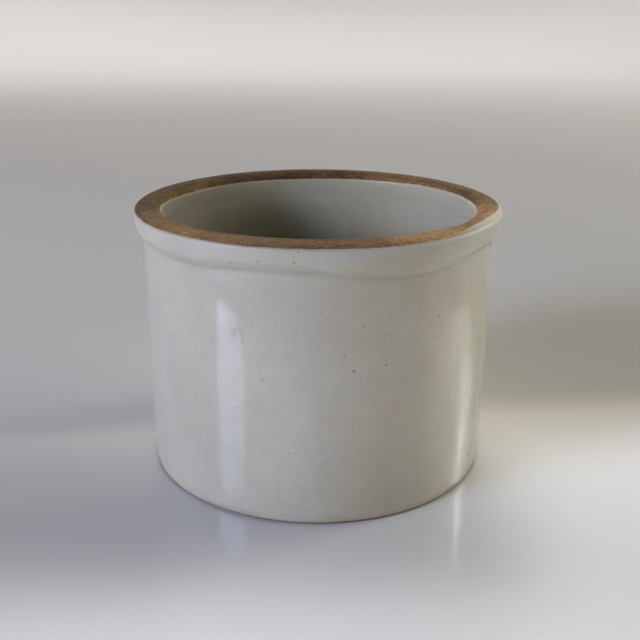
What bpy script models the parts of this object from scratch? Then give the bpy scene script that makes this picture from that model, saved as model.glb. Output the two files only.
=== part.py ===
"""A two-gallon stoneware fermenting crock with its pair of half-round weights.

The crock is one fired piece, turned about Z, and stands on Z = 0 with its axis at the origin.
The two weights lie on its floor, and each lifts straight out of the mouth along +Z.
Run with: blender --background --python part.py
"""

import math

import bpy

MM = 0.001

# Crock, driving dimensions
HEIGHT = 195 * MM
LIP_RADIUS = 133 * MM  # widest point of the lip
MOUTH_RADIUS = 113.2 * MM  # inside, at the rim
WELL_RADIUS = 115.5 * MM  # inside, below the thicker lip
FLOOR_HEIGHT = 12 * MM  # top of the floor
FLOOR_FILLET = 12 * MM  # inside corner between floor and wall
WELL_TOP_DEPTH = 40 * MM  # depth below the rim at which the wall starts to thicken

# Rim: a flat bare seat with rounded edges
RIM_INNER_ROUND = 2.6 * MM
RIM_OUTER_ROUND = 2.8 * MM

# Lip: (radius, depth below the rim), down its outer face and round under it
LIP_FACE = (
    (132.8 * MM, 7.0 * MM),
    (132.4 * MM, 11.0 * MM),
    (131.9 * MM, 14.3 * MM),
    (131.1 * MM, 16.6 * MM),
    (129.9 * MM, 18.6 * MM),
    (128.7 * MM, 20.2 * MM),
    (127.9 * MM, 21.9 * MM),
    (127.6 * MM, 24.0 * MM),
)

# Body: a shallow barrel between the lip and the foot
BODY_TOP_DEPTH = 27 * MM
BODY_TOP_RADIUS = 127.6 * MM
BODY_FOOT_RADIUS = 126.9 * MM
BARREL = 0.9 * MM  # how far the middle of the wall stands out past a straight line
BODY_RINGS = 7

# Foot: a flat ring round a shallow recess
FOOT_ROUND = 2.4 * MM
FOOT_INNER_RADIUS = 108 * MM
RECESS_RADIUS = 106 * MM
RECESS_DEPTH = 1.5 * MM

# Weights: two half discs with a finger hole between them
REST_GAP = 0.3 * MM  # between a weight and the floor that it lies on
WEIGHT_RADIUS = 106 * MM
WEIGHT_THICKNESS = 22 * MM
WEIGHT_EDGE_ROUND = 4.5 * MM
WEIGHT_GAP = 3 * MM  # between the two straight edges
WEIGHT_TIP_ROUND = 12 * MM  # seen from above
FINGER_RADIUS = 16 * MM
FINGER_LIP_ROUND = 7 * MM  # seen from above, where the finger hole meets a straight edge

TURNED_STEPS = 96
ARC_STEPS = 4
ROUND_STEPS = 8
WEIGHT_ARC_STEPS = 24
MERGE = 0.05 * MM


def clear_scene():
    for obj in list(bpy.data.objects):
        bpy.data.objects.remove(obj, do_unlink=True)


def new_collection(name):
    collection = bpy.data.collections.new(name)
    bpy.context.scene.collection.children.link(collection)
    return collection


def ceramic(name, colour, roughness):
    material = bpy.data.materials.new(name)
    material.use_nodes = True
    material.diffuse_color = (*colour, 1)
    shader = material.node_tree.nodes["Principled BSDF"]
    shader.inputs["Base Color"].default_value = (*colour, 1)
    shader.inputs["Roughness"].default_value = roughness
    shader.inputs["Metallic"].default_value = 0
    return material


def arc(centre, radius, start, end, steps):
    """Points on a round corner, from the start angle to the end angle, in degrees."""
    angles = [math.radians(start + (end - start) * i / steps) for i in range(steps + 1)]
    return [(centre[0] + radius * math.cos(a), centre[1] + radius * math.sin(a)) for a in angles]


def body_radius(share):
    """Outer radius of the wall: 0 is at the foot, 1 is under the lip."""
    straight = BODY_FOOT_RADIUS + (BODY_TOP_RADIUS - BODY_FOOT_RADIUS) * share
    return straight + BARREL * 4 * share * (1 - share)


def crock_profile():
    """(radius, height) points from the middle of the floor, up the inside and down the outside."""
    inside = [(0, FLOOR_HEIGHT)]
    corner = (WELL_RADIUS - FLOOR_FILLET, FLOOR_HEIGHT + FLOOR_FILLET)
    inside += arc(corner, FLOOR_FILLET, -90, 0, ROUND_STEPS)
    inside.append((WELL_RADIUS, HEIGHT - WELL_TOP_DEPTH))

    seat_inner = (MOUTH_RADIUS + RIM_INNER_ROUND, HEIGHT - RIM_INNER_ROUND)
    seat_outer = (LIP_RADIUS - RIM_OUTER_ROUND, HEIGHT - RIM_OUTER_ROUND)
    rim = arc(seat_inner, RIM_INNER_ROUND, 180, 90, ARC_STEPS)
    rim += arc(seat_outer, RIM_OUTER_ROUND, 90, 0, ARC_STEPS)

    lip = [(radius, HEIGHT - depth) for radius, depth in LIP_FACE]

    wall_height = HEIGHT - BODY_TOP_DEPTH - FOOT_ROUND
    shares = [1 - i / BODY_RINGS for i in range(BODY_RINGS)]
    body = [(body_radius(share), FOOT_ROUND + wall_height * share) for share in shares]

    foot = arc((BODY_FOOT_RADIUS - FOOT_ROUND, FOOT_ROUND), FOOT_ROUND, 0, -90, ARC_STEPS)
    foot += [(FOOT_INNER_RADIUS, 0), (RECESS_RADIUS, RECESS_DEPTH), (0, RECESS_DEPTH)]
    return inside + rim + lip + body + foot


def make_crock(collection, material):
    profile = crock_profile()
    mesh = bpy.data.meshes.new("crock_body")
    edges = [(i, i + 1) for i in range(len(profile) - 1)]
    mesh.from_pydata([(radius, 0, height) for radius, height in profile], edges, [])
    crock = bpy.data.objects.new("crock_body", mesh)
    collection.objects.link(crock)
    mesh.materials.append(material)
    turn = crock.modifiers.new("turned", "SCREW")
    turn.axis = "Z"
    turn.steps = TURNED_STEPS
    turn.render_steps = TURNED_STEPS
    turn.use_merge_vertices = True
    turn.merge_threshold = MERGE
    turn.use_smooth_shade = True
    return crock


def weight_outline():
    """(x, y) points round the half disc on the +X side, anticlockwise from the middle of its round edge."""
    edge = WEIGHT_GAP / 2
    reach = WEIGHT_RADIUS - WEIGHT_TIP_ROUND
    tip = (edge + WEIGHT_TIP_ROUND, math.sqrt(reach**2 - (edge + WEIGHT_TIP_ROUND) ** 2))
    reach = FINGER_RADIUS + FINGER_LIP_ROUND
    lip = (edge + FINGER_LIP_ROUND, math.sqrt(reach**2 - (edge + FINGER_LIP_ROUND) ** 2))
    tip_angle = math.degrees(math.atan2(tip[1], tip[0]))
    lip_angle = math.degrees(math.atan2(lip[1], lip[0]))

    half = arc((0, 0), WEIGHT_RADIUS, 0, tip_angle, WEIGHT_ARC_STEPS)
    half += arc(tip, WEIGHT_TIP_ROUND, tip_angle, 180, ROUND_STEPS)[1:]
    half += arc(lip, FINGER_LIP_ROUND, 180, 180 + lip_angle, ARC_STEPS)
    half += arc((0, 0), FINGER_RADIUS, lip_angle, 0, ARC_STEPS)[1:]
    mirrored = [(x, -y) for x, y in reversed(half[1:-1])]
    return half + mirrored


def weight_curve():
    """A half-round slab with rounded edges, centred on its own middle height."""
    curve = bpy.data.curves.new("half_round_weight", "CURVE")
    curve.dimensions = "2D"
    curve.fill_mode = "BOTH"
    curve.extrude = WEIGHT_THICKNESS / 2 - WEIGHT_EDGE_ROUND
    curve.bevel_depth = WEIGHT_EDGE_ROUND
    curve.bevel_resolution = 3
    curve.offset = -WEIGHT_EDGE_ROUND
    outline = weight_outline()
    spline = curve.splines.new("POLY")
    spline.points.add(len(outline) - 1)
    for point, (x, y) in zip(spline.points, outline):
        point.co = (x, y, 0, 1)
    spline.use_cyclic_u = True
    spline.use_smooth = True
    return curve


def make_weight(name, curve, turn_about_z, collection):
    weight = bpy.data.objects.new(name, curve)
    collection.objects.link(weight)
    weight.location = (0, 0, FLOOR_HEIGHT + REST_GAP + WEIGHT_THICKNESS / 2)
    weight.rotation_euler = (0, 0, turn_about_z)
    caps = weight.modifiers.new("joined_caps", "WELD")
    caps.merge_threshold = MERGE
    return weight


def main():
    clear_scene()
    collection = new_collection("ceramic_crock_fermenter")
    glaze = ceramic("glazed_stoneware", (0.66, 0.63, 0.55), 0.15)
    weight_glaze = ceramic("weight_stoneware", (0.62, 0.57, 0.47), 0.3)
    crock = make_crock(collection, glaze)
    curve = weight_curve()
    curve.materials.append(weight_glaze)
    for name, turn in (("weight_right", 0), ("weight_left", math.pi)):
        weight = make_weight(name, curve, turn, collection)
        weight.parent = crock


main()
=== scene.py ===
"""Looks of a stoneware fermenting crock and its two weights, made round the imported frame.

The crock is one turned mesh, from the middle of its floor, up the inside, over the rim, down the
outside and under the foot. Its clay is nominal size less the glaze, and the glaze is thickness on top
of it, so the edge of the glaze at the rim and at the foot is a real step.
Angles are compass-like: 0 is the front (-Y), 90 is the right (+X) and 180 the back.
"""

import math

import bpy
import numpy as np
from mathutils import Matrix, Vector, noise


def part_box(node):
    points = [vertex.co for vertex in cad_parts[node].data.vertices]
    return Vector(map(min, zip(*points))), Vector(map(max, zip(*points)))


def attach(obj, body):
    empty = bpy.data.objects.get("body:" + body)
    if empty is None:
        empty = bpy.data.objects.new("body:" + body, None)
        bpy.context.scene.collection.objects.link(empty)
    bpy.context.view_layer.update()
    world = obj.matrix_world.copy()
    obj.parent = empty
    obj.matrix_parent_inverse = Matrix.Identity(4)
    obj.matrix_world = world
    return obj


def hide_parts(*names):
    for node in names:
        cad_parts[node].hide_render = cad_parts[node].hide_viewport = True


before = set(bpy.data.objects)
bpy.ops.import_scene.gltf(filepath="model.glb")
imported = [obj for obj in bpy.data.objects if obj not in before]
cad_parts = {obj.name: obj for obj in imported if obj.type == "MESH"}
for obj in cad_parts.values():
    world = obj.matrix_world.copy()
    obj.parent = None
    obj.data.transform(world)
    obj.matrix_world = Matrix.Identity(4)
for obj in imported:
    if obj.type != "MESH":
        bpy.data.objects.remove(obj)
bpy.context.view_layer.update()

MM = 0.001

# Sizes that the frame gives
CROCK_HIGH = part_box("crock_body")[1]
HEIGHT = CROCK_HIGH.z
LIP_RADIUS = CROCK_HIGH.x

# Sizes that repeat the CAD part
MOUTH_RADIUS = 113.2 * MM
WELL_RADIUS = 115.5 * MM
FLOOR_HEIGHT = 12 * MM
FLOOR_FILLET = 12 * MM
WELL_TOP_DEPTH = 40 * MM
LIP_FACE = (
    (133.0 * MM, 5.0 * MM),
    (132.8 * MM, 7.4 * MM),
    (132.4 * MM, 11.0 * MM),
    (131.9 * MM, 14.3 * MM),
    (131.1 * MM, 16.6 * MM),
    (129.9 * MM, 18.6 * MM),
    (128.7 * MM, 20.2 * MM),
    (127.9 * MM, 21.9 * MM),
    (127.6 * MM, 24.0 * MM),
    (127.6 * MM, 27.0 * MM),
)
BODY_TOP_DEPTH = 27 * MM
BODY_TOP_RADIUS = 127.6 * MM
BODY_FOOT_RADIUS = 126.9 * MM
BARREL = 0.9 * MM  # how far the wall swells at half its height
FOOT_ROUND = 2.4 * MM
FOOT_INNER_RADIUS = 108 * MM
RECESS_RADIUS = 106 * MM
RECESS_DEPTH = 1.5 * MM

# The rim is more rounded than the CAD's plain one, as (radius, depth) points over the top of it
RIM_INSIDE = (
    (113.2 * MM, 6.6 * MM),
    (113.5 * MM, 4.4 * MM),
    (114.6 * MM, 2.3 * MM),
    (116.6 * MM, 0.75 * MM),
    (119.2 * MM, 0.08 * MM),
    (120.6 * MM, 0.0 * MM),
)
RIM_OUTSIDE = (
    (123.3 * MM, 0.0 * MM),
    (125.4 * MM, 0.12 * MM),
    (128.2 * MM, 0.5 * MM),
    (130.6 * MM, 1.2 * MM),
    (132.3 * MM, 2.4 * MM),
    (132.9 * MM, 3.7 * MM),
    (133.0 * MM, 5.0 * MM),
)

# Glaze
GLAZE_THICKNESS = 0.30 * MM
GLAZE_TAPER = (-0.1 * MM, 1.6 * MM)  # it grows to full thickness between these distances inside its edge
BARE_FOOT_HEIGHT = 1.3 * MM
FOOT_END = 12  # points at the section's end that are below the glaze's lower edge

# How far the bare clay of the rim reaches down the inside and the outside, in mm by compass angle
BARE_INSIDE_DEPTHS = (
    (-172, 6.4),
    (-150, 6.0),
    (-120, 6.4),
    (-106, 6.0),
    (-92, 4.4),
    (-80, 3.0),
    (-50, 3.5),
    (60, 3.4),
    (80, 3.0),
    (101, 3.6),
    (127, 4.0),
    (137, 4.7),
    (150, 5.6),
    (172, 6.0),
)
BARE_OUTSIDE_DEPTHS = (
    (-120, 2.4),
    (-54, 2.5),
    (-33, 2.0),
    (-20, 2.2),
    (0, 2.0),
    (15, 2.2),
    (28, 2.4),
    (38, 2.0),
    (44, 1.0),
    (50, 0.3),
    (64, 0.15),
    (72, 0.4),
    (84, 1.2),
    (120, 2.2),
)
# Shade of the bare clay on the rim by compass angle, 1 is the plain colour. It is partly the clay's own
# toasting and partly painted light: painted shade darkens the back and painted sheen lightens the right
# front
CLAY_SHADES = (
    (-178, 0.56),
    (-155, 0.56),
    (-135, 0.56),
    (-120, 0.82),
    (-105, 0.66),
    (-94, 0.58),
    (-72, 0.80),
    (-60, 1.14),
    (-40, 1.16),
    (-22, 1.00),
    (-8, 0.82),
    (2, 0.88),
    (14, 0.94),
    (24, 1.65),
    (36, 1.95),
    (48, 1.55),
    (60, 1.6),
    (72, 2.0),
    (84, 1.35),
    (96, 0.85),
    (110, 1.0),
    (135, 1.2),
    (157, 1.08),
    (170, 0.58),
)

# Mesh spacing
COARSE_STEP = 1.25  # degrees
FINE_STEP = 0.42  # degrees, where there are blisters
FINE_SECTORS = ((-31, -17), (14, 24), (33, 41))
BLISTER_BAND = (76 * MM, 140 * MM)  # heights between which the rings are close together
ROUNDED_OFF = 4  # degrees each way over which the tables by compass angle are rounded off

# Depth of the crease under the lip in mm by compass angle: the lip was rolled by hand, so it isn't even
CREASE_DEPTHS = (
    (-150, 20.6),
    (-90, 20.2),
    (-42, 21.0),
    (-33, 20.7),
    (-25, 19.2),
    (-16, 18.4),
    (-4, 18.4),
    (6, 21.2),
    (13, 22.4),
    (29, 24.0),
    (37, 23.1),
    (45, 21.3),
    (58, 19.8),
    (76, 21.3),
    (140, 20.0),
)
NOMINAL_CREASE_DEPTH = 21.5
CREASE_ZONE = (9 * MM, 50 * MM)  # depths between which the wall follows the crease up and down

# How far the rim's inner edge stands in from its nominal place, in mm by compass angle
RIM_WIDENINGS = (
    (-130, 0.0),
    (-90, -1.0),
    (-48, -1.2),
    (-38, -0.3),
    (-33, 1.2),
    (-27, 2.7),
    (-18, 3.4),
    (5, 3.6),
    (13, 3.0),
    (20, 1.9),
    (30, 1.0),
    (37, 0.6),
    (44, -0.4),
    (52, -1.7),
    (64, -1.8),
    (95, -0.9),
    (130, 0.0),
)

# Each blister: compass angle, then in mm its height, the radius of the ring that its ridge makes (0 is a
# plain bump), the ridge's width and its rise
BLISTERS = (
    (-23.3, 132.6, 3.2, 0.95, 0.62),
    (-22.4, 134.0, 0, 1.8, 0.40),
    (-24.6, 130.6, 0, 1.5, -0.30),
    (-24.9, 136.4, 0, 1.6, -0.16),
    (-21.4, 128.2, 0, 1.2, -0.32),
    (-26.5, 82.6, 0, 1.5, 0.20),
    (-24.5, 82.9, 0, 1.8, 0.24),
    (-22.9, 82.0, 0, 1.3, 0.14),
    (-24.5, 80.6, 0, 1.0, -0.16),
    (37.1, 106.4, 0, 1.2, 0.26),
    (36.5, 80.0, 0, 1.2, 0.24),
    (37.4, 92.0, 0, 1.8, 0.10),
    (17.5, 124.0, 0, 3.2, 0.12),
    (21.0, 131.0, 0, 2.6, 0.10),
)
BLISTER_REACH = 9  # mm from a blister's middle, beyond which it lifts nothing
BLISTER_ARC_RADIUS = 128  # mm, to turn angles between blisters into lengths
RIDGE_HEADING = 2.4  # radians anticlockwise from the right, where a ring-shaped ridge is highest

# Where the glaze's second dip ends on the lip, in mm of height by compass angle
LAP_LINE = (
    (-2, 183.0),
    (11, 184.4),
    (17, 185.6),
    (22, 188.1),
    (25, 188.9),
    (34, 188.0),
    (48, 187.8),
    (62, 189.4),
)
LAP_LIMIT = 16 * MM  # depth below which the dip's edge isn't looked for

# Camera, in metres, degrees and mm of lens
CAMERA_DISTANCE = 0.6354
CAMERA_HEIGHT = 0.3291
CAMERA_PITCH = 19.759
CAMERA_YAW = 0.164
CAMERA_ROLL = 0.338
CAMERA_LENS = 49.38
SENSOR_WIDTH = 36


def smoothstep(low, high, value):
    """From 0 at the low value to 1 at the high one, levelling off at both."""
    share = np.clip((value - low) / (high - low), 0, 1)
    return share * share * (3 - 2 * share)


def bell(value, middle, width):
    """A smooth bump from 0 to 1 with its top at the middle."""
    return math.exp(-(((value - middle) / width) ** 2))


def arc(centre, radius, start, end, count):
    """(radius, height) points round part of a circle, both ends included."""
    angles = np.radians(np.linspace(start, end, count))
    return [(centre[0] + radius * math.cos(a), centre[1] + radius * math.sin(a)) for a in angles]


def line(start, end, spacing):
    """Evenly spaced points from the start up to but not including the end."""
    count = max(2, round(math.dist(start, end) / spacing))
    return [tuple(np.array(start) + (np.array(end) - np.array(start)) * i / count) for i in range(count)]


def curve_through(points, count):
    """A smooth curve through the points, with evenly shared steps."""
    points = np.array(points)
    padded = np.vstack([2 * points[0] - points[1], points, 2 * points[-1] - points[-2]])
    curve = []
    for t in np.linspace(0, len(points) - 1, count):
        i = min(int(t), len(points) - 2)
        u = t - i
        a, b, c, d = padded[i : i + 4]
        spot = 2 * b + (c - a) * u + (2 * a - 5 * b + 4 * c - d) * u**2 + (3 * b - a - 3 * c + d) * u**3
        curve.append(tuple(spot / 2))
    return curve


def body_radius(height):
    """Nominal outer radius of the wall below the lip."""
    share = (height - FOOT_ROUND) / (HEIGHT - BODY_TOP_DEPTH - FOOT_ROUND)
    straight = BODY_FOOT_RADIUS + (BODY_TOP_RADIUS - BODY_FOOT_RADIUS) * share
    return straight + BARREL * 4 * share * (1 - share)


def body_heights():
    """Ring heights down the outer wall, close together where there are blisters."""
    height = HEIGHT - BODY_TOP_DEPTH - 1 * MM
    heights = []
    while height > FOOT_ROUND + 1 * MM:
        heights.append(height)
        blistered = BLISTER_BAND[0] < height < BLISTER_BAND[1]
        height -= (1.0 if blistered else 2.4) * MM
    return heights


def crock_profile():
    """(radius, height) points of the crock's section, and the index at which its outside starts."""
    inside = line((0.4 * MM, FLOOR_HEIGHT), (WELL_RADIUS - FLOOR_FILLET, FLOOR_HEIGHT), 6 * MM)
    inside += arc((WELL_RADIUS - FLOOR_FILLET, FLOOR_HEIGHT + FLOOR_FILLET), FLOOR_FILLET, -90, 0, 12)[:-1]
    well_top = (WELL_RADIUS, HEIGHT - WELL_TOP_DEPTH)
    mouth = (MOUTH_RADIUS, HEIGHT - 9 * MM)
    inside += line((WELL_RADIUS, FLOOR_HEIGHT + FLOOR_FILLET), well_top, 3.6 * MM)
    inside += line(well_top, mouth, 2.5 * MM)
    inside += line(mouth, (MOUTH_RADIUS, HEIGHT - RIM_INSIDE[0][1]), 0.6 * MM)
    rim = curve_through([(radius, HEIGHT - depth) for radius, depth in RIM_INSIDE], 15)
    rim += line((RIM_INSIDE[-1][0], HEIGHT), (RIM_OUTSIDE[0][0], HEIGHT), 0.9 * MM)[1:]
    outside_start = len(inside) + len(rim)
    rim += curve_through([(radius, HEIGHT - depth) for radius, depth in RIM_OUTSIDE], 18)[:-1]
    lip = curve_through([(radius, HEIGHT - depth) for radius, depth in LIP_FACE], 40)
    body = [(body_radius(height), height) for height in body_heights()]
    foot = arc((BODY_FOOT_RADIUS - FOOT_ROUND, FOOT_ROUND), FOOT_ROUND, 0, -90, 8)
    foot += [(FOOT_INNER_RADIUS + 8 * MM, 0), (FOOT_INNER_RADIUS, 0), (RECESS_RADIUS, RECESS_DEPTH)]
    foot += line((RECESS_RADIUS - 1 * MM, RECESS_DEPTH), (0.4 * MM, RECESS_DEPTH), 30 * MM)
    foot.append((0.4 * MM, RECESS_DEPTH))
    return np.array(inside + rim + lip + body + foot), outside_start


def crock_angles():
    """Compass angles of the mesh's columns, closer together in the sectors with blisters."""
    angles = []
    angle = -180.0
    while angle < 180 - COARSE_STEP / 2:
        angles.append(angle)
        fine = any(low <= angle < high for low, high in FINE_SECTORS)
        angle += FINE_STEP if fine else COARSE_STEP
    return np.array(angles)


def around(table, angle):
    """The value at a compass angle from a table of them, rounded off between its entries."""
    near = angle + np.linspace(-ROUNDED_OFF, ROUNDED_OFF, 9)
    return float(np.interp(near, *zip(*table), period=360).mean())


def blister_rise(angle, height):
    """How far the blisters lift the wall there, in metres."""
    rise = 0.0
    for at, up, ring, width, lift in BLISTERS:
        across = math.radians(angle - at) * BLISTER_ARC_RADIUS
        along = height / MM - up
        if abs(across) > BLISTER_REACH or abs(along) > BLISTER_REACH:
            continue
        away = math.hypot(across, along)
        share = bell(away, ring, width)
        if ring:
            share *= 0.55 + 0.45 * math.cos(math.atan2(along, across) - RIDGE_HEADING)
        rise += lift * MM * share
    return rise


def lap(angle, height):
    """Lift of the second dip's edge on the lip, in metres, and from 0 to 1 how far above it a point is."""
    line_height = np.interp(angle, *zip(*LAP_LINE))
    there = smoothstep(LAP_LINE[0][0], LAP_LINE[0][0] + 9, angle)
    there *= 1 - smoothstep(LAP_LINE[-1][0] - 22, LAP_LINE[-1][0], angle)
    above = height / MM - line_height
    ridge = 0.32 * bell(above, 0, 0.7) + 0.10 * (1 - smoothstep(-0.6, 0.6, above))
    return ridge * there * MM, smoothstep(-0.2, 1.0, above) * there


def wall_waves(spot):
    """Unevenness of the outer wall, in metres: throwing, drying and a glaze that ran a little."""
    broad = noise.noise(Vector((spot.x * 9, spot.y * 9, spot.z * 14)))
    medium = noise.noise(Vector((spot.x * 38, spot.y * 38, spot.z * 30 + 5)))
    runs = noise.noise(Vector((spot.x * 85, spot.y * 85, spot.z * 22 + 11)))
    return (0.30 * broad + 0.05 * medium + 0.018 * runs) * MM


def crease_line(below, angle):
    """Lift of the wall by the crease, in metres, so many mm below its middle.

    On the right it is a sharp line under a bulging lip, and on the left a hollow above a slight swelling.
    """
    sharp = smoothstep(-4, 10, angle) * (1 - 0.6 * smoothstep(80, 120, angle))
    line_lift = 0.14 * bell(below, -2.6, 1.6) - 0.34 * bell(below, 0.2, 0.8)
    hollow_lift = 0.20 * bell(below, 5.0, 1.4) - 0.48 * bell(below, 1.6, 1.6)
    return (sharp * line_lift + (1 - sharp) * hollow_lift) * MM


def outer_wall_lift(spot, angle, height, depth):
    """Lift of the outer wall by its unevenness, which fades out at the rim, and by the blisters."""
    calm = smoothstep(0.5 * MM, 12 * MM, depth)
    return (wall_waves(spot) - 0.1 * MM) * calm + blister_rise(angle, height)


def inner_wall_lift(spot, height, depth):
    """Lift of the inner wall by throwing rings, which fade out at the rim, and by its waviness."""
    ripple = 0.10 * math.sin(height / MM * 0.42 + 0.5 * noise.noise(spot * 10))
    waves = 0.15 * noise.noise(spot * 12)
    return (ripple * smoothstep(8 * MM, 20 * MM, depth) + waves) * MM


def bare_edges(angle):
    """Ragged wander of the glaze's edges at a compass angle, in metres: inside, outside and at the foot."""
    a = math.radians(angle)
    ring = Vector((math.sin(a), math.cos(a), 0))
    inner = 0.3 * noise.noise(ring * 14) + 0.12 * noise.noise(ring * 60)
    outer = 0.28 * noise.noise(ring * 17 + Vector((0, 0, 2))) + 0.15 * noise.noise(ring * 60)
    foot = 0.5 * noise.noise(ring * 9 + Vector((0, 0, 7))) + 0.35 * noise.noise(ring * 40)
    return inner * MM, outer * MM, foot * MM


def follow(profile):
    """The distance run along the section up to each of its points, and the outward normals there."""
    steps = np.linalg.norm(np.diff(profile, axis=0), axis=1)
    run = np.concatenate([[0], np.cumsum(steps)])
    tangents = np.gradient(profile, axis=0)
    tangents /= np.linalg.norm(tangents, axis=1)[:, None]
    return run, np.stack([-tangents[:, 1], tangents[:, 0]], axis=1)


def glaze_margin(profile, run, outside_start, angle):
    """How far inside the glaze's edge each point of the section is, in metres, negative on bare clay."""
    outer = slice(outside_start, len(profile) - FOOT_END)
    inner_wander, outer_wander, foot_wander = bare_edges(angle)
    inner_depth, outer_depth = (around(t, angle) * MM for t in (BARE_INSIDE_DEPTHS, BARE_OUTSIDE_DEPTHS))
    inner_edge = np.interp(HEIGHT - inner_depth, profile[:outside_start, 1], run[:outside_start])
    outer_edge = np.interp(outer_depth - HEIGHT, -profile[outer, 1], run[outer])
    foot_edge = np.interp(-BARE_FOOT_HEIGHT, -profile[outer, 1], run[outer])
    # the glaze comes in more slowly on the right, where it was wiped thin
    spread = 1 + 1.8 * smoothstep(30, 46, angle) * (1 - smoothstep(76, 92, angle))
    margin = np.maximum(inner_edge + inner_wander - run, (run - outer_edge - outer_wander) / spread)
    return np.minimum(margin, foot_edge + foot_wander - run)


def rim_shade(radius, angle):
    """Shade of the rim's clay: partly painted shade and sheen by compass angle, and lighter at the front on
    its outer half and along its inner edge.
    """
    outer_half = smoothstep(120.5 * MM, 124.5 * MM, radius)
    inner_strip = 1 - smoothstep(116.0 * MM, 118.6 * MM, radius)
    left = 1 - smoothstep(-40, -10, angle)
    frontal = 1 - smoothstep(40, 90, abs(angle - 15))
    lighter = 0.08 + (0.12 + 0.33 * left) * outer_half + 0.40 * inner_strip
    return around(CLAY_SHADES, angle) * (1 + frontal * lighter)


def widening_share(radius, depth):
    """How much of the rim's widening a point takes: all of it at the inner top edge, none at the lip."""
    if depth >= RIM_INSIDE[0][1]:
        return 0.0
    return (1 - depth / RIM_INSIDE[0][1]) ** 1.5 * (1 - smoothstep(118 * MM, 129 * MM, radius))


def crock_vertices():
    """All vertices ring by ring, and for each one the values that the material reads.

    They are how far inside the glaze's edge it lies in mm, its shares above the lap and in the crease,
    and the clay's shade.
    """
    profile, outside_start = crock_profile()
    angles = crock_angles()
    run, normals = follow(profile)
    shape = (len(profile), len(angles))
    vertices = np.zeros((*shape, 3))
    values = {name: np.zeros(shape) for name in ("inside_glaze", "above_lap", "in_crease", "clay_shade")}
    for column, angle in enumerate(angles):
        a = math.radians(angle)
        outward = np.array([math.sin(a), -math.cos(a)])
        margin = glaze_margin(profile, run, outside_start, angle)
        values["inside_glaze"][:, column] = margin / MM
        values["clay_shade"][:, column] = rim_shade(profile[:, 0], angle)
        thickness = GLAZE_THICKNESS * smoothstep(*GLAZE_TAPER, margin)
        widening = around(RIM_WIDENINGS, angle) * MM
        crease_shift = (NOMINAL_CREASE_DEPTH - around(CREASE_DEPTHS, angle)) * MM
        for row, (radius, height) in enumerate(profile):
            depth = HEIGHT - height
            outside = row >= outside_start
            lift = thickness[row] - GLAZE_THICKNESS
            if outside and CREASE_ZONE[0] < depth < CREASE_ZONE[1]:
                reach = smoothstep(9 * MM, 19 * MM, depth) * (1 - smoothstep(25 * MM, 50 * MM, depth))
                height += crease_shift * reach
                below_crease = depth / MM - NOMINAL_CREASE_DEPTH
                lift += crease_line(below_crease, angle)
                values["in_crease"][row, column] = bell(below_crease, 0.9, 1.9)
            spot = Vector((outward[0] * radius, outward[1] * radius, height))
            if outside and height > FOOT_ROUND:
                lift += outer_wall_lift(spot, angle, height, depth)
                if depth < LAP_LIMIT and LAP_LINE[0][0] < angle < LAP_LINE[-1][0]:
                    ridge, values["above_lap"][row, column] = lap(angle, height)
                    lift += ridge
            elif not outside and height > FLOOR_HEIGHT + 1 * MM:
                lift += inner_wall_lift(spot, height, depth)
            if margin[row] < 0 and depth < 8 * MM:  # the rim's clay is rough
                lift += (0.12 * noise.noise(spot * 30) + 0.04 * noise.noise(spot * 70)) * MM
            across, up = normals[row] * lift
            across -= widening * widening_share(radius, depth)
            if height < FOOT_ROUND and radius < BODY_FOOT_RADIUS - FOOT_ROUND:  # the underside stays flat
                across, up = 0.0, 0.0
            vertices[row, column, :2] = outward * min(radius + across, LIP_RADIUS)
            vertices[row, column, 2] = min(max(height + up, 0), HEIGHT)
    return vertices, values


def grid_faces(rows, columns):
    """Faces between closed rings of vertices, then a cap on the first ring and one on the last."""
    faces = []
    for row in range(rows - 1):
        for column in range(columns):
            after = (column + 1) % columns
            a, b = row * columns + column, row * columns + after
            faces.append((a, b, b + columns, a + columns))
    faces.append(tuple(range(columns))[::-1])
    last = (rows - 1) * columns
    faces.append(tuple(range(last, last + columns)))
    return faces


def make_crock():
    """The crock's mesh, with the values that its material reads as attributes."""
    vertices, values = crock_vertices()
    rows, columns = vertices.shape[:2]
    mesh = bpy.data.meshes.new("crock")
    mesh.from_pydata(vertices.reshape(-1, 3).tolist(), [], grid_faces(rows, columns))
    mesh.shade_smooth()
    for name, grid in values.items():
        attribute = mesh.attributes.new(name, "FLOAT", "POINT")
        attribute.data.foreach_set("value", grid.ravel().astype(np.float32))
    crock = bpy.data.objects.new("crock", mesh)
    bpy.context.scene.collection.objects.link(crock)
    return crock


# Materials


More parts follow.
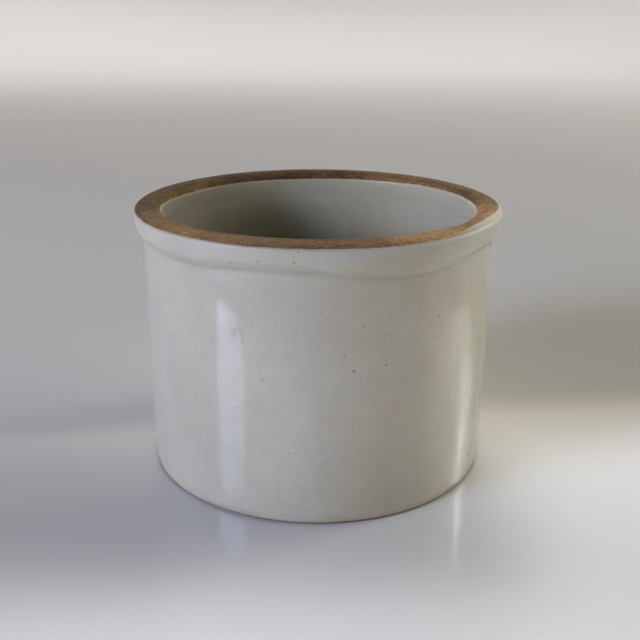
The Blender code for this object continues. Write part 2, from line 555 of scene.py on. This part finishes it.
class Nodes:
    """A short way to write the nodes of a material or of the world."""

    def __init__(self, name, world=None):
        if world:
            self.tree = world.node_tree
            return
        self.material = bpy.data.materials.new(name)
        self.material.use_nodes = True
        self.tree = self.material.node_tree
        self.shader = self.tree.nodes["Principled BSDF"]

    def link(self, value, socket):
        if isinstance(value, bpy.types.NodeSocket):
            self.tree.links.new(value, socket)
        elif isinstance(value, tuple) and len(value) == 3 and socket.type == "RGBA":
            socket.default_value = (*value, 1)
        else:
            socket.default_value = value

    def node(self, kind, inputs=(), **settings):
        node = self.tree.nodes.new("ShaderNode" + kind)
        for key, value in settings.items():
            setattr(node, key, value)
        for key, value in dict(inputs).items():
            self.link(value, node.inputs[key])
        return node

    def place(self):
        return self.node("TexCoord").outputs["Object"]

    def noise(self, vector, scale, detail=2.0, roughness=0.5, distortion=0.0):
        inputs = {
            "Vector": vector,
            "Scale": scale,
            "Detail": detail,
            "Roughness": roughness,
            "Distortion": distortion,
        }
        return self.node("TexNoise", inputs).outputs["Fac"]

    def attribute(self, name):
        return self.node("Attribute", attribute_name=name).outputs["Fac"]

    def math(self, operation, a, b=0.0, clamp=False):
        node = self.node("Math", operation=operation, use_clamp=clamp)
        self.link(a, node.inputs[0])
        self.link(b, node.inputs[1])
        return node.outputs[0]

    def vector(self, operation, inputs):
        node = self.node("VectorMath", inputs, operation=operation)
        return node.outputs["Value" if operation in ("LENGTH", "DISTANCE", "DOT_PRODUCT") else "Vector"]

    def range(self, value, low, high, to_low=0.0, to_high=1.0, smooth=False):
        """The value brought from one range to another, and kept inside it."""
        inputs = {"Value": value, "From Min": low, "From Max": high, "To Min": to_low, "To Max": to_high}
        kind = "SMOOTHSTEP" if smooth else "LINEAR"
        return self.node("MapRange", inputs, interpolation_type=kind).outputs["Result"]

    def mix(self, share, a, b, blend="MIX"):
        node = self.node("Mix", data_type="RGBA", blend_type=blend)
        self.link(share, node.inputs["Factor"])
        self.link(a, node.inputs["A"])
        self.link(b, node.inputs["B"])
        return node.outputs["Result"]

    def tint(self, share, most, colour, tint):
        """The colour tinted by a share of the most it may be."""
        return self.mix(self.math("MULTIPLY", share, most), colour, tint)

    def blend(self, share, a, b):
        """The same as mix, for plain numbers."""
        node = self.node("Mix", data_type="FLOAT")
        self.link(share, node.inputs["Factor"])
        self.link(a, node.inputs["A"])
        self.link(b, node.inputs["B"])
        return node.outputs["Result"]

    def bump(self, height, distance, normal=None):
        inputs = {"Height": height, "Distance": distance, "Strength": 1.0}
        if normal is not None:
            inputs["Normal"] = normal
        return self.node("Bump", inputs).outputs["Normal"]


GLAZE_WHITE = (0.648, 0.640, 0.549)
GLAZE_GREY = (0.578, 0.578, 0.509)
GLAZE_WARM = (0.650, 0.606, 0.483)
GLAZE_BUFF = (0.59, 0.565, 0.435)
GLAZE_BEIGE = (0.58, 0.52, 0.40)
GLAZE_MOTTLE = (0.53, 0.50, 0.42)
GLAZE_FLECKS = (0.52, 0.49, 0.42)
GLAZE_THIN = (0.46, 0.37, 0.25)  # clay showing through at the glaze's edge
SECOND_DIP = (0.56, 0.585, 0.585)
SMEAR_AND_GLINT = (0.80, 0.78, 0.68)
IRON = (0.09, 0.045, 0.02)
FAINT_SPECK = (0.20, 0.14, 0.08)
WEIGHT_SPECK = (0.16, 0.10, 0.05)
# painted shade for the crease under the lip
CREASE_PAINTED_SHADE = (0.42, 0.40, 0.32)
# painted contact shadow where the foot meets the floor
FOOT_SHADOW = (0.03, 0.032, 0.027)
WELL_TINT = (0.60, 0.54, 0.43)
WELL_STAIN = (0.42, 0.34, 0.22)
# painted shade inside the well, for its right and its left side
WELL_RIGHT_PAINTED_SHADE = (0.90, 0.93, 0.88)
WELL_LEFT_PAINTED_SHADE = (0.44, 0.43, 0.41)
CLAY = (0.315, 0.185, 0.070)
CLAY_DARK = (0.135, 0.074, 0.030)
CLAY_LIGHT = (0.50, 0.335, 0.165)

CERAMIC_IOR = 1.52
GLAZE_ROUGHNESS = (0.055, 0.105)
WIPED_ROUGHNESS = 0.5  # of the glaze that was wiped thin by the rim
CLAY_ROUGHNESS = 0.92
WEIGHT_GLAZE_ROUGHNESS = (0.12, 0.24)
WEIGHT_CLAY_ROUGHNESS = 0.66

# Iron specks and pinholes: compass angle, height in mm, radius in mm
IRON_SPECKS = (
    (10.4, 112.0, 1.15),
    (7.5, 123.2, 0.75),
    (13.3, 141.1, 0.8),
    (37.7, 140.3, 0.95),
    (33.2, 128.3, 0.7),
    (25.8, 129.7, 0.65),
    (27.7, 117.9, 0.75),
    (24.1, 114.5, 0.6),
    (20.0, 113.8, 0.9),
    (26.6, 103.0, 0.65),
    (31.6, 102.2, 0.5),
    (0.9, 151.3, 0.7),
    (-1.2, 112.7, 0.55),
    (-9.9, 144.6, 0.55),
    (-9.9, 155.7, 0.5),
    (-9.0, 162.9, 0.5),
    (-17.7, 151.6, 0.55),
    (-6.6, 128.5, 0.5),
    (-5.7, 122.6, 0.5),
    (-16.0, 104.2, 0.8),
    (-29.6, 143.1, 0.7),
    (-29.9, 128.1, 0.75),
    (-38.0, 167.6, 0.7),
    (6.0, 83.0, 0.7),
    (4.5, 94.7, 0.65),
    (-8.2, 54.1, 0.75),
    (2.7, 48.3, 0.6),
    (-40.0, 33.7, 0.6),
    (1.8, 31.9, 0.6),
    (60.4, 18.9, 1.1),
    (-23.7, 180.9, 0.85),
    (-15.9, 183.6, 0.8),
    (-6.2, 184.2, 0.9),
    (-5.0, 191.0, 0.8),
    (-3.9, 181.2, 0.7),
    (-3.0, 179.6, 0.6),
    (-1.5, 175.1, 0.6),
    (7.6, 179.8, 0.75),
)


def outer_radius(height):
    """Nominal outer radius of the crock at a height, the lip's included."""
    depth = HEIGHT - height
    if depth < BODY_TOP_DEPTH:
        depths = [d for _, d in LIP_FACE]
        radii = [r for r, _ in LIP_FACE]
        return float(np.interp(depth, depths, radii))
    return body_radius(height)


def on_wall(angle, height, inset=0.0):
    """The point on the outer wall at a compass angle and a height in mm, or that many metres inside it."""
    a, out = math.radians(angle), outer_radius(height * MM) - inset
    return Vector((math.sin(a) * out, -math.cos(a) * out, height * MM))


def specks(nodes, place):
    """From 0 to 1, how much of an iron speck a point is."""
    wobble = nodes.node("TexNoise", {"Vector": place, "Scale": 900.0, "Detail": 1.0}).outputs["Color"]
    centred = nodes.vector("SUBTRACT", {0: wobble, 1: (0.5, 0.5, 0.5)})
    shifted = nodes.vector("MULTIPLY_ADD", {0: centred, 1: (0.0011, 0.0011, 0.0011), 2: place})
    total = 0.0
    for angle, height, radius in IRON_SPECKS:
        away = nodes.vector("DISTANCE", {0: shifted, 1: on_wall(angle, height, 0.2 * MM)})
        strength = min(1.0, 0.30 + 1.1 * (radius - 0.5))
        near = nodes.range(away, 1.25 * radius * MM, 0.25 * radius * MM, 0.0, strength)
        total = nodes.math("MAXIMUM", near, total)
    return total


# Faint pale smears on the glaze, partly a painted reflection arc near 20 degrees, with two short painted
# glints on small bumps near 37 degrees, each from one compass angle and height in mm to another, and how
# far it reaches to each side in mm
SMEARS_AND_GLINTS = (
    (19.8, 136.2, 25.9, 139.1, 1.4),
    (20.8, 131.0, 19.0, 123.5, 1.1),
    (19.0, 123.5, 14.5, 115.3, 1.2),
    (14.5, 115.3, 4.5, 107.5, 1.3),
    (-2.6, 189.9, -0.5, 185.0, 0.4),
    (37.1, 107.8, 37.1, 104.4, 0.8),
    (36.4, 82.4, 36.4, 78.8, 0.7),
)


def smears_and_glints(nodes, place):
    """From 0 to 1, how much of a pale smear a point is, with the painted reflection arc and the painted
    glints among them.
    """
    total = 0.0
    for start_angle, start_height, end_angle, end_height, width in SMEARS_AND_GLINTS:
        start = on_wall(start_angle, start_height)
        along = on_wall(end_angle, end_height) - start
        offset = nodes.vector("SUBTRACT", {0: place, 1: start})
        share = nodes.vector("DOT_PRODUCT", {0: offset, 1: along / along.length_squared})
        share = nodes.math("MULTIPLY", share, 1.0, clamp=True)
        nearest = nodes.vector("SCALE", {0: along, "Scale": share})
        away = nodes.vector("DISTANCE", {0: offset, 1: nearest})
        near = nodes.range(away, width * MM, 0.0, smooth=True)
        total = nodes.math("MAXIMUM", near, total)
    patchy = nodes.range(nodes.noise(place, 260.0, 3.0, 0.6), 0.38, 0.62)
    return nodes.math("MULTIPLY", total, patchy)


def scattered_specks(nodes, place, cell, radius):
    """Small specks anywhere, one at most for each cell of that size, both in millimetres."""
    voronoi = nodes.node("TexVoronoi", {"Vector": place, "Scale": 1 / (cell * MM), "Randomness": 1.0})
    return nodes.range(voronoi.outputs["Distance"], radius / cell, 0.4 * radius / cell)


def glaze_colour(nodes, place):
    """Off-white glaze, clouded and mottled, and buff in patches right of the middle."""
    cloud = nodes.noise(place, 11.0, 3.0, 0.55, 0.4)
    colour = nodes.mix(nodes.range(cloud, 0.38, 0.66, smooth=True), GLAZE_WHITE, GLAZE_GREY)
    warm = nodes.noise(place, 23.0, 4.0, 0.6)
    colour = nodes.mix(nodes.range(warm, 0.45, 0.75, 0.0, 0.45), colour, GLAZE_WARM)
    x = nodes.node("SeparateXYZ", {"Vector": place}).outputs["X"]
    cast = nodes.math("MULTIPLY", nodes.range(x, -10 * MM, 35 * MM), nodes.range(x, 95 * MM, 55 * MM))
    colour = nodes.tint(cast, 0.62, colour, GLAZE_BUFF)
    patch = nodes.range(nodes.noise(place, 42.0, 3.0, 0.6, 0.3), 0.44, 0.64, 0.0, 0.6, smooth=True)
    colour = nodes.tint(cast, patch, colour, GLAZE_BEIGE)
    mottle = nodes.noise(place, 75.0, 4.0, 0.65, 0.3)
    colour = nodes.mix(nodes.range(mottle, 0.40, 0.66, 0.0, 0.32), colour, GLAZE_MOTTLE)
    fine = nodes.noise(place, 420.0, 3.0, 0.65)
    return nodes.mix(nodes.range(fine, 0.35, 0.75, 0.0, 0.36), colour, GLAZE_FLECKS)


def clay_colour(nodes, place):
    """Bare fired clay, toasted in patches, with light flecks and dark grain."""
    patch = nodes.noise(place, 26.0, 4.0, 0.62, 0.6)
    colour = nodes.mix(nodes.range(patch, 0.36, 0.64, 0.15, 1.0, smooth=True), CLAY_DARK, CLAY)
    fine = nodes.noise(place, 330.0, 4.0, 0.7)
    colour = nodes.mix(nodes.range(fine, 0.45, 0.72, 0.0, 0.75), colour, CLAY_LIGHT)
    grain = nodes.noise(place, 950.0, 2.0, 0.7)
    return nodes.mix(nodes.range(grain, 0.5, 0.72, 0.0, 0.8), colour, CLAY_DARK)


def rim_clay(nodes, place, radius, flat):
    """The rim's clay: wiped round the crock while wet, and scaled by its shade, which is partly toasting
    and partly painted shade and sheen.
    """
    along = nodes.vector("SCALE", {0: nodes.vector("NORMALIZE", {0: flat}), "Scale": 11.0})
    across = nodes.node("CombineXYZ", {"Z": nodes.math("MULTIPLY", radius, 1150.0)}).outputs["Vector"]
    wiped = nodes.vector("ADD", {0: along, 1: across})
    streaks = nodes.range(nodes.noise(wiped, 1.0, 3.0, 0.6), 0.44, 0.62, 0.0, 0.7)
    colour = nodes.mix(streaks, clay_colour(nodes, place), CLAY_DARK)
    # the clay's shade holds painted shade at the back of the rim and painted sheen at its right front
    return nodes.vector("SCALE", {0: colour, "Scale": nodes.attribute("clay_shade")})


def well_glaze(nodes, place, glaze, x, z):
    """The glaze inside the crock: stained, darker lower down, and with painted shade on the left."""
    deep = nodes.range(z, HEIGHT - 25 * MM, HEIGHT - 110 * MM, smooth=True)
    well = nodes.mix(deep, glaze, nodes.mix(1.0, glaze, WELL_TINT, "MULTIPLY"))
    # painted shade: the well is darkened strongly on its left side and only slightly on its right
    left = nodes.range(x, -40 * MM, -94 * MM, smooth=True)
    well = nodes.mix(1.0, well, nodes.mix(left, WELL_RIGHT_PAINTED_SHADE, WELL_LEFT_PAINTED_SHADE), "MULTIPLY")
    stain = nodes.range(nodes.noise(place, 17.0, 4.0, 0.6, 0.5), 0.45, 0.75, 0.0, 0.3)
    return nodes.mix(stain, well, WELL_STAIN)


def crock_glaze(nodes, place, x, z, in_well, thin):
    """The glaze's colour with all its marks, and from 0 to 1 how much of a speck's pit a point is."""
    glaze = glaze_colour(nodes, place)
    glaze = nodes.mix(in_well, glaze, well_glaze(nodes, place, glaze, x, z))
    glaze = nodes.mix(thin, glaze, GLAZE_THIN)
    glaze = nodes.tint(nodes.attribute("above_lap"), 0.5, glaze, SECOND_DIP)
    # painted shade in the crease under the lip
    glaze = nodes.tint(nodes.attribute("in_crease"), 0.38, glaze, CREASE_PAINTED_SHADE)
    low = nodes.range(z, 9 * MM, 1.5 * MM, 0.0, 0.55, smooth=True)
    glaze = nodes.tint(low, nodes.range(nodes.noise(place, 60.0, 4.0, 0.6), 0.35, 0.65), glaze, GLAZE_THIN)
    # pale smears with painted light: a painted reflection arc near 20 degrees and painted glints near 37
    # degrees
    glaze = nodes.tint(smears_and_glints(nodes, place), 0.30, glaze, SMEAR_AND_GLINT)
    iron = specks(nodes, place)
    glaze = nodes.tint(iron, 0.85, glaze, IRON)
    faint = scattered_specks(nodes, place, 12.0, 0.55)
    glaze = nodes.tint(faint, 0.6, glaze, FAINT_SPECK)
    return glaze, nodes.math("MAXIMUM", iron, faint)


def crock_relief(nodes, place, glazed, pits):
    """Relief too fine for the mesh: orange peel and pits in the glaze, grit in the clay."""
    glaze_normal = nodes.bump(nodes.noise(place, 160.0, 2.0, 0.5), 0.06 * MM)
    glaze_normal = nodes.bump(nodes.math("SUBTRACT", 1.0, pits), 0.3 * MM, glaze_normal)
    clay_normal = nodes.bump(nodes.noise(place, 1100.0, 3.0, 0.7), 0.4 * MM)
    normal = nodes.node("Mix", data_type="VECTOR")
    nodes.link(glazed, normal.inputs["Factor"])
    nodes.link(clay_normal, normal.inputs["A"])
    nodes.link(glaze_normal, normal.inputs["B"])
    return normal.outputs["Result"]


def crock_material():
    nodes = Nodes("crock_glaze_and_clay")
    place = nodes.place()
    apart = nodes.node("SeparateXYZ", {"Vector": place})
    x, y, z = (apart.outputs[axis] for axis in "XYZ")
    flat = nodes.node("CombineXYZ", {"X": x, "Y": y}).outputs["Vector"]
    radius = nodes.vector("LENGTH", {0: flat})
    in_well = nodes.range(radius, MOUTH_RADIUS + 4 * MM, MOUTH_RADIUS + 3 * MM)
    above_floor = nodes.range(z, FLOOR_HEIGHT - 8 * MM, FLOOR_HEIGHT - 6 * MM)
    in_well = nodes.math("MULTIPLY", in_well, above_floor)

    ragged = nodes.range(nodes.noise(place, 700.0, 2.0, 0.6), 0.3, 0.7, -0.25, 0.25)
    edge = nodes.math("ADD", nodes.attribute("inside_glaze"), ragged)
    glazed = nodes.range(edge, -0.12, 0.12, smooth=True)
    thin = nodes.range(edge, 0.0, 1.6, 0.75, 0.0)
    thin = nodes.math("MULTIPLY", thin, nodes.blend(in_well, 1.0, 0.35))

    glaze, pits = crock_glaze(nodes, place, x, z, in_well, thin)
    colour = nodes.mix(glazed, rim_clay(nodes, place, radius, flat), glaze)
    # painted contact shadow: the outermost ring of the foot is darkened towards the floor, below 1.9 mm
    foot_shadow = nodes.range(z, 1.9 * MM, 0.8 * MM, 0.0, 0.85)
    outermost = nodes.range(radius, 125.3 * MM, 125.8 * MM)
    nodes.link(nodes.tint(foot_shadow, outermost, colour, FOOT_SHADOW), nodes.shader.inputs["Base Color"])

    gloss = nodes.range(nodes.noise(place, 45.0, 3.0, 0.6), 0.3, 0.7, *GLAZE_ROUGHNESS)
    lip = nodes.range(z, HEIGHT - 23 * MM, HEIGHT - 10 * MM, smooth=True)
    wiped = nodes.math("MAXIMUM", thin, nodes.math("MULTIPLY", lip, 0.85))
    gloss = nodes.blend(wiped, gloss, WIPED_ROUGHNESS)
    nodes.link(nodes.blend(glazed, CLAY_ROUGHNESS, gloss), nodes.shader.inputs["Roughness"])
    nodes.link(crock_relief(nodes, place, glazed, pits), nodes.shader.inputs["Normal"])
    nodes.shader.inputs["IOR"].default_value = CERAMIC_IOR
    return nodes.material


def weight_material():
    """The weights' finish: the crock's glaze with more specks, and a bare foot."""
    nodes = Nodes("weight_glaze_and_clay")
    place = nodes.place()
    height = nodes.node("SeparateXYZ", {"Vector": place}).outputs["Z"]
    ragged = nodes.range(nodes.noise(place, 90.0, 4.0, 0.6), 0.3, 0.7, -1.6 * MM, 1.6 * MM)
    level = nodes.math("ADD", height, ragged)
    foot = WEIGHT_FLOOR + WEIGHT_BARE_FOOT
    glazed = nodes.range(level, foot, foot + 0.5 * MM, smooth=True)
    thin = nodes.range(level, foot, foot + 3 * MM, 0.7, 0.0)
    glaze = nodes.mix(thin, glaze_colour(nodes, place), GLAZE_THIN)
    glaze = nodes.tint(scattered_specks(nodes, place, 9.0, 0.6), 0.7, glaze, WEIGHT_SPECK)
    nodes.link(nodes.mix(glazed, clay_colour(nodes, place), glaze), nodes.shader.inputs["Base Color"])
    gloss = nodes.range(nodes.noise(place, 60.0, 3.0, 0.6), 0.3, 0.7, *WEIGHT_GLAZE_ROUGHNESS)
    nodes.link(nodes.blend(glazed, WEIGHT_CLAY_ROUGHNESS, gloss), nodes.shader.inputs["Roughness"])
    bumps = nodes.bump(nodes.noise(place, 190.0, 3.0, 0.55), 0.12 * MM)
    nodes.link(bumps, nodes.shader.inputs["Normal"])
    nodes.shader.inputs["IOR"].default_value = CERAMIC_IOR
    return nodes.material


# Weights

WEIGHT_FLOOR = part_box("weight_left")[0].z
WEIGHT_BARE_FOOT = 3.5 * MM
WEIGHT_VOXEL = 1.3 * MM
WEIGHT_SMOOTHING = 6  # passes
WEIGHT_INSET = 0.3  # mm that the slab stands in from the CAD's shape on the whole


def make_weight(node):
    """A hand-cut slab on the CAD weight's shape: remeshed, softened and slightly uneven."""
    low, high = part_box(node)
    rough = bpy.data.objects.new(node + "_rough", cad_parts[node].data.copy())
    bpy.context.scene.collection.objects.link(rough)
    remesh = rough.modifiers.new("voxels", "REMESH")
    remesh.mode = "VOXEL"
    remesh.voxel_size = WEIGHT_VOXEL
    soften = rough.modifiers.new("softened", "SMOOTH")
    soften.factor = 0.5
    soften.iterations = WEIGHT_SMOOTHING
    evaluated = rough.evaluated_get(bpy.context.evaluated_depsgraph_get())
    mesh = bpy.data.meshes.new_from_object(evaluated)
    bpy.data.objects.remove(rough)
    mesh.update()
    moved = []
    for vertex in mesh.vertices:
        uneven = noise.noise(vertex.co * 16) * 0.28 + noise.noise(vertex.co * 60) * 0.07 - WEIGHT_INSET
        spot = vertex.co + vertex.normal * uneven * MM
        moved += [min(max(value, least), most) for value, least, most in zip(spot, low, high)]
    mesh.vertices.foreach_set("co", moved)
    mesh.materials.clear()
    mesh.shade_smooth()
    weight = bpy.data.objects.new(node + "_slab", mesh)
    bpy.context.scene.collection.objects.link(weight)
    return weight


# Camera, floor and light


def make_camera():
    data = bpy.data.cameras.new("camera")
    data.lens = CAMERA_LENS
    data.sensor_width = SENSOR_WIDTH
    camera = bpy.data.objects.new("camera", data)
    turn = Matrix.Rotation(math.radians(-CAMERA_YAW), 4, "Z")
    tilt = Matrix.Rotation(math.radians(90 - CAMERA_PITCH), 4, "X")
    roll = Matrix.Rotation(math.radians(CAMERA_ROLL), 4, "Z")
    camera.matrix_world = Matrix.Translation((0, -CAMERA_DISTANCE, CAMERA_HEIGHT)) @ turn @ tilt @ roll
    bpy.context.scene.collection.objects.link(camera)
    bpy.context.scene.camera = camera


# The floor is flat round the crock and rises far away to a low rim, as (radius, height) in metres
FLOOR_SECTION = (
    (0.02, 0.0),
    (0.5, 0.0),
    (1.5, 0.0),
    (4.0, 0.0),
    (5.5, 0.06),
    (6.6, 0.3),
    (7.3, 0.7),
    (7.7, 1.2),
    (7.8, 1.6),
)
FLOOR_COLUMNS = 96
FLOOR_COLOURS = ((0.78, 0.78, 0.78), (0.75, 0.75, 0.76))
FLOOR_ROUGHNESS = 0.9
# It is polished on a patch round the crock, in metres: left and right limits, the front limit as
# y - slope * x, and the cut across the left front corner as y + slope * x
POLISHED_ROUGHNESS = 0.055
POLISHED_LEFT = -0.497
POLISHED_RIGHT = 0.52
POLISHED_FRONT = -0.352
POLISHED_SLOPE = 0.058
POLISHED_CORNER = -0.648
POLISHED_CORNER_SLOPE = 0.658
POLISHED_BACK = (0.10, -0.02)  # the polish starts and is whole between these, as y - slope * x
POLISHED_BACK_SLOPE = 0.15
POLISH_FADE = 0.012


def floor_material():
    """Pale and matt, and smooth on the polished patch."""
    nodes = Nodes("pale_floor")
    place = nodes.place()
    cloud = nodes.noise(place, 3.0, 3.0, 0.5)
    nodes.link(nodes.mix(cloud, *FLOOR_COLOURS), nodes.shader.inputs["Base Color"])
    apart = nodes.node("SeparateXYZ", {"Vector": place})
    x, y = apart.outputs["X"], apart.outputs["Y"]
    front = nodes.math("SUBTRACT", y, nodes.math("MULTIPLY", x, POLISHED_SLOPE))
    corner = nodes.math("ADD", y, nodes.math("MULTIPLY", x, POLISHED_CORNER_SLOPE))
    back = nodes.math("SUBTRACT", y, nodes.math("MULTIPLY", x, POLISHED_BACK_SLOPE))
    share = nodes.range(back, *POLISHED_BACK, smooth=True)
    for value, limit, fade in (
        (x, POLISHED_LEFT, POLISH_FADE),
        (x, POLISHED_RIGHT, -POLISH_FADE),
        (front, POLISHED_FRONT, POLISH_FADE),
        (corner, POLISHED_CORNER, POLISH_FADE),
    ):
        share = nodes.math("MULTIPLY", share, nodes.range(value, limit, limit + fade))
    roughness = nodes.blend(share, FLOOR_ROUGHNESS, POLISHED_ROUGHNESS)
    nodes.link(roughness, nodes.shader.inputs["Roughness"])
    return nodes.material


def make_floor():
    vertices = []
    for radius, height in FLOOR_SECTION:
        for column in range(FLOOR_COLUMNS):
            a = 2 * math.pi * column / FLOOR_COLUMNS
            vertices.append((radius * math.cos(a), radius * math.sin(a), height))
    mesh = bpy.data.meshes.new("floor")
    mesh.from_pydata(vertices, [], grid_faces(len(FLOOR_SECTION), FLOOR_COLUMNS)[:-1])
    mesh.shade_smooth()
    floor = bpy.data.objects.new("floor", mesh)
    bpy.context.scene.collection.objects.link(floor)
    mesh.materials.append(floor_material())


def area_light(name, size, power, colour, matrix):
    """A rectangular light that the camera can't see."""
    data = bpy.data.lights.new(name, "AREA")
    data.shape = "RECTANGLE"
    data.size, data.size_y = size
    data.energy = power
    data.color = colour
    light = bpy.data.objects.new(name, data)
    light.matrix_world = matrix
    light.visible_camera = False
    bpy.context.scene.collection.objects.link(light)
    return data


# Lights that face the middle of the crock: name, compass angle, elevation, distance, width and height,
# power, colour and roll, in degrees, metres and watts
WINDOWS = (
    ("window", -57.5, 20.8, 3.745, (1.17, 1.365), 89, (0.57, 0.70, 1.0), 4),
    ("far_window", 117, 24.6, 3.81, (1.20, 0.84), 17.5, (0.88, 1.0, 0.92), 0),
    ("far_window_middle", 116, 28.0, 3.81, (0.46, 0.60), 6.5, (1.0, 1.0, 0.92), 0),
)
# Lights straight above a part of the floor: name, place, width and depth, power and spread
DOWN_LIGHTS = (
    ("far_floor", (0, 5.2, 3.0), (8.0, 4.5), 84, 90),
    ("right_floor", (0.30, -0.18, 0.7), (0.34, 0.38), 0.155, 12),
    ("front_floor", (-0.08, -0.30, 0.7), (0.46, 0.20), 0.12, 12),
)


def window(name, angle, elevation, distance, size, power, colour, roll):
    a, e = math.radians(angle), math.radians(elevation)
    away = Vector((math.sin(a) * math.cos(e), -math.cos(a) * math.cos(e), math.sin(e)))
    facing = away.to_track_quat("Z", "Y").to_matrix().to_4x4()
    place = Matrix.Translation(Vector((0, 0, HEIGHT / 2)) + away * distance)
    area_light(name, size, power, colour, place @ facing @ Matrix.Rotation(math.radians(roll), 4, "Z"))


def down_light(name, place, size, power, spread):
    data = area_light(name, size, power, (1.0, 1.0, 1.0), Matrix.Translation(place))
    data.spread = math.radians(spread)


# The room's own soft light: compass angle it comes from, how it narrows round that angle, elevations
# between which it fades out, colour and strength
ROOM_GLOWS = (
    (-60, 14, 12, 30, (1.00, 0.50, 0.20), 4.0),
    (100, 14, 20, 40, (1.00, 0.92, 0.78), 6.0),
    (180, 3, 16, 36, (1.00, 0.90, 0.72), 3.1),
)


def make_room():
    """The world: glows low down on each side of the room, dark overhead."""
    world = bpy.data.worlds.new("soft_room")
    bpy.context.scene.world = world
    world.use_nodes = True
    nodes = Nodes("soft_room", world)
    apart = nodes.node("SeparateXYZ", {"Vector": nodes.node("TexCoord").outputs["Generated"]})
    level = nodes.node("CombineXYZ", {"X": apart.outputs["X"], "Y": apart.outputs["Y"]})
    heading = nodes.vector("NORMALIZE", {0: level.outputs["Vector"]})
    total = (0.0, 0.0, 0.0)
    for angle, narrowing, low, high, colour, strength in ROOM_GLOWS:
        a = math.radians(angle)
        facing = nodes.vector("DOT_PRODUCT", {0: heading, 1: (math.sin(a), -math.cos(a), 0)})
        share = nodes.math("POWER", nodes.math("MAXIMUM", facing, 0.0), narrowing)
        sines = math.sin(math.radians(high)), math.sin(math.radians(low))
        fade = nodes.range(apart.outputs["Z"], *sines, smooth=True)
        share = nodes.math("MULTIPLY", share, fade)
        glow = tuple(strength * part for part in colour)
        total = nodes.mix(share, total, glow, "ADD")
    background = world.node_tree.nodes["Background"]
    nodes.link(total, background.inputs["Color"])


def make_lights():
    for row in WINDOWS:
        window(*row)
    for row in DOWN_LIGHTS:
        down_light(*row)


def main():
    bpy.context.scene.view_settings.view_transform = "Standard"
    make_camera()
    make_floor()
    make_room()
    make_lights()

    crock = make_crock()
    crock.data.materials.append(crock_material())
    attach(crock, "crock")
    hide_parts("crock_body")

    slab_finish = weight_material()
    for node, body in (("weight_left", "left_weight"), ("weight_right", "right_weight")):
        slab = make_weight(node)
        slab.data.materials.append(slab_finish)
        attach(slab, body)
        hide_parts(node)


main()
